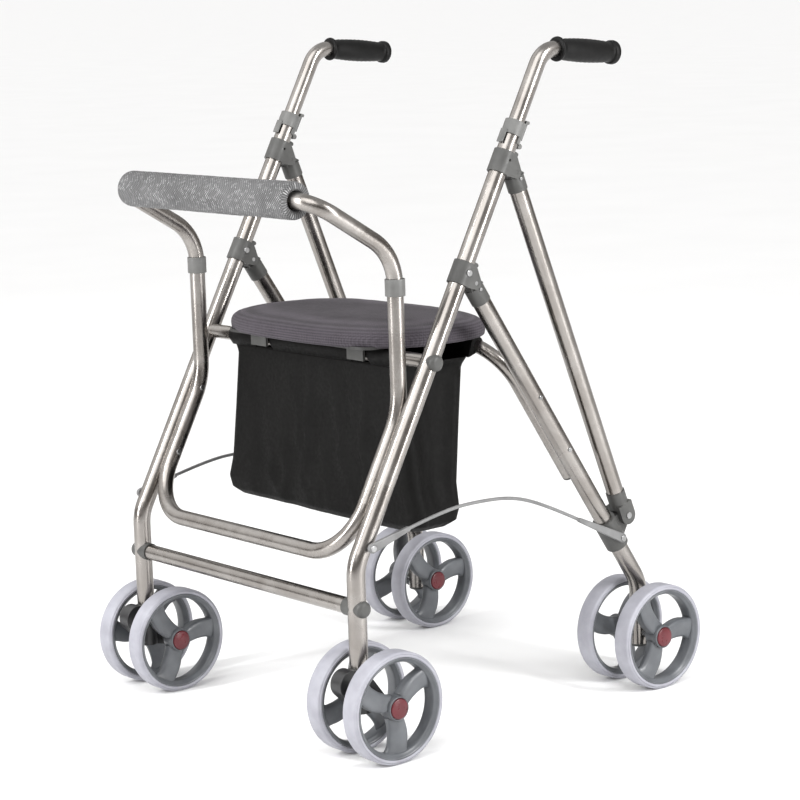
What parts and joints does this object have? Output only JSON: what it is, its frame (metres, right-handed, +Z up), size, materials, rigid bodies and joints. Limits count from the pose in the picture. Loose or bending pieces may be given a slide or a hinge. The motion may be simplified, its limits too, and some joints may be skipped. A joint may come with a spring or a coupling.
{
  "type": "wheeled walking frame",
  "caption": "Folding four-leg walking frame with twin-wheel casters, padded seat over a soft bag, backrest roll and height-adjustable handles.",
  "frame": {"origin": "on the floor under the middle of the frame's bounding box", "axes": "+Z up, -Y the way the walker travels, +Y towards the user, +X the user's left"},
  "size_m": [0.6008, 0.6421, 0.9258],
  "materials": {
    "aluminium": "satin",
    "joint_plastic": "matte",
    "clip_plastic": "matte",
    "hardware": "brushed",
    "tyre": "matte",
    "rim": "gloss",
    "seat": "woven",
    "board": "matte",
    "bag": "matte",
    "roll": "woven",
    "grip": "matte",
    "caster": "matte",
    "cable": "satin"
  },
  "bodies": {
    "front_frame": {"front_tube_left": "aluminium", "front_tube_right": "aluminium", "hinge_collars": "joint_plastic", "hinge_pins": "hardware", "upper_crossbar": "aluminium", "lower_crossbar": "aluminium", "crossbar_saddles": "joint_plastic", "crossbar_caps": "joint_plastic", "backrest_loop": "aluminium", "backrest_bow": "aluminium", "backrest_ferrules": "clip_plastic", "backrest_roll": "roll", "front_screws": "hardware", "height_clips": "clip_plastic", "bag": "bag", "tie_cables": "cable", "caster_bushes": "joint_plastic"},
    "rear_frame": {"rear_leg_left": "aluminium", "rear_leg_right": "aluminium", "leg_heads": "joint_plastic", "rear_brackets": "joint_plastic", "rear_axles": "hardware", "rear_screws": "hardware", "seat_frame_tube": "aluminium", "tube_end_plugs": "joint_plastic"},
    "seat": {"seat_pad": "seat", "seat_board": "board", "seat_clips": "joint_plastic"},
    "handle_left": {"handle_tube_left": "aluminium", "grip_left": "grip"},
    "runner_left": {"runner_left": "joint_plastic"},
    "strut_left": {"strut_left": "aluminium", "strut_ends_left": "joint_plastic", "strut_pins_left": "hardware"},
    "caster_left": {"caster_fork_left": "caster", "caster_pins_left": "hardware"},
    "wheel_front_left_outer": {"tyre_front_left_outer": "tyre", "rim_front_left_outer": "rim"},
    "wheel_front_left_inner": {"tyre_front_left_inner": "tyre", "rim_front_left_inner": "rim"},
    "wheel_rear_left_outer": {"tyre_rear_left_outer": "tyre", "rim_rear_left_outer": "rim"},
    "wheel_rear_left_inner": {"tyre_rear_left_inner": "tyre", "rim_rear_left_inner": "rim"},
    "handle_right": {"handle_tube_right": "aluminium", "grip_right": "grip"},
    "runner_right": {"runner_right": "joint_plastic"},
    "strut_right": {"strut_right": "aluminium", "strut_ends_right": "joint_plastic", "strut_pins_right": "hardware"},
    "caster_right": {"caster_fork_right": "caster", "caster_pins_right": "hardware"},
    "wheel_front_right_outer": {"tyre_front_right_outer": "tyre", "rim_front_right_outer": "rim"},
    "wheel_front_right_inner": {"tyre_front_right_inner": "tyre", "rim_front_right_inner": "rim"},
    "wheel_rear_right_outer": {"tyre_rear_right_outer": "tyre", "rim_rear_right_outer": "rim"},
    "wheel_rear_right_inner": {"tyre_rear_right_inner": "tyre", "rim_rear_right_inner": "rim"}
  },
  "joints": [
    {"name": "fold", "type": "hinge", "parent": "front_frame", "child": "rear_frame", "pos_m": [0, -0.05908, 0.60929], "axis": [1, 0, 0], "range_deg": [-30, 0], "deforming": ["bag", "tie_cables"]},
    {"name": "strut_swing_left", "type": "hinge", "parent": "rear_frame", "child": "strut_left", "pos_m": [0.247, 0.217, 0.251], "axis": [1, 0, 0], "range_deg": [0, 9.5]},
    {"name": "runner_slide_left", "type": "slide", "parent": "front_frame", "child": "runner_left", "axis": [0, 0.4749, 0.8801], "range_m": [-0.0588, 0]},
    {"name": "handle_slide_left", "type": "slide", "parent": "front_frame", "child": "handle_left", "axis": [0, 0.4749, 0.8801], "range_m": [-0.05, 0.05]},
    {"name": "caster_swivel_left", "type": "hinge", "parent": "front_frame", "child": "caster_left", "pos_m": [0.247, -0.268, 0.126], "axis": [0, 0, 1], "continuous": true},
    {"name": "front_left_outer_spin", "type": "hinge", "parent": "caster_left", "child": "wheel_front_left_outer", "pos_m": [0.285, -0.244, 0.075], "axis": [1, 0, 0], "continuous": true},
    {"name": "front_left_inner_spin", "type": "hinge", "parent": "caster_left", "child": "wheel_front_left_inner", "pos_m": [0.209, -0.244, 0.075], "axis": [1, 0, 0], "continuous": true},
    {"name": "rear_left_outer_spin", "type": "hinge", "parent": "rear_frame", "child": "wheel_rear_left_outer", "pos_m": [0.285, 0.2461, 0.075], "axis": [1, 0, 0], "continuous": true},
    {"name": "rear_left_inner_spin", "type": "hinge", "parent": "rear_frame", "child": "wheel_rear_left_inner", "pos_m": [0.209, 0.2461, 0.075], "axis": [1, 0, 0], "continuous": true},
    {"name": "strut_swing_right", "type": "hinge", "parent": "rear_frame", "child": "strut_right", "pos_m": [-0.247, 0.217, 0.251], "axis": [1, 0, 0], "range_deg": [0, 9.5]},
    {"name": "runner_slide_right", "type": "slide", "parent": "front_frame", "child": "runner_right", "axis": [0, 0.4749, 0.8801], "range_m": [-0.0588, 0]},
    {"name": "handle_slide_right", "type": "slide", "parent": "front_frame", "child": "handle_right", "axis": [0, 0.4749, 0.8801], "range_m": [-0.05, 0.05]},
    {"name": "caster_swivel_right", "type": "hinge", "parent": "front_frame", "child": "caster_right", "pos_m": [-0.247, -0.268, 0.126], "axis": [0, 0, 1], "continuous": true},
    {"name": "front_right_outer_spin", "type": "hinge", "parent": "caster_right", "child": "wheel_front_right_outer", "pos_m": [-0.285, -0.244, 0.075], "axis": [1, 0, 0], "continuous": true},
    {"name": "front_right_inner_spin", "type": "hinge", "parent": "caster_right", "child": "wheel_front_right_inner", "pos_m": [-0.209, -0.244, 0.075], "axis": [1, 0, 0], "continuous": true},
    {"name": "rear_right_outer_spin", "type": "hinge", "parent": "rear_frame", "child": "wheel_rear_right_outer", "pos_m": [-0.285, 0.2461, 0.075], "axis": [1, 0, 0], "continuous": true},
    {"name": "rear_right_inner_spin", "type": "hinge", "parent": "rear_frame", "child": "wheel_rear_right_inner", "pos_m": [-0.209, 0.2461, 0.075], "axis": [1, 0, 0], "continuous": true},
    {"name": "seat_lift", "type": "hinge", "parent": "rear_frame", "child": "seat", "pos_m": [0, 0.00595, 0.514], "axis": [1, 0, 0], "range_deg": [-50, 0]}
  ],
  "couplings": [
    {"joint": "strut_swing_left", "follows": "fold", "ratio": -0.31405},
    {"joint": "runner_slide_left", "follows": "fold", "m_per_rad": 0.11202},
    {"joint": "strut_swing_right", "follows": "fold", "ratio": -0.31405},
    {"joint": "runner_slide_right", "follows": "fold", "m_per_rad": 0.11202}
  ]
}
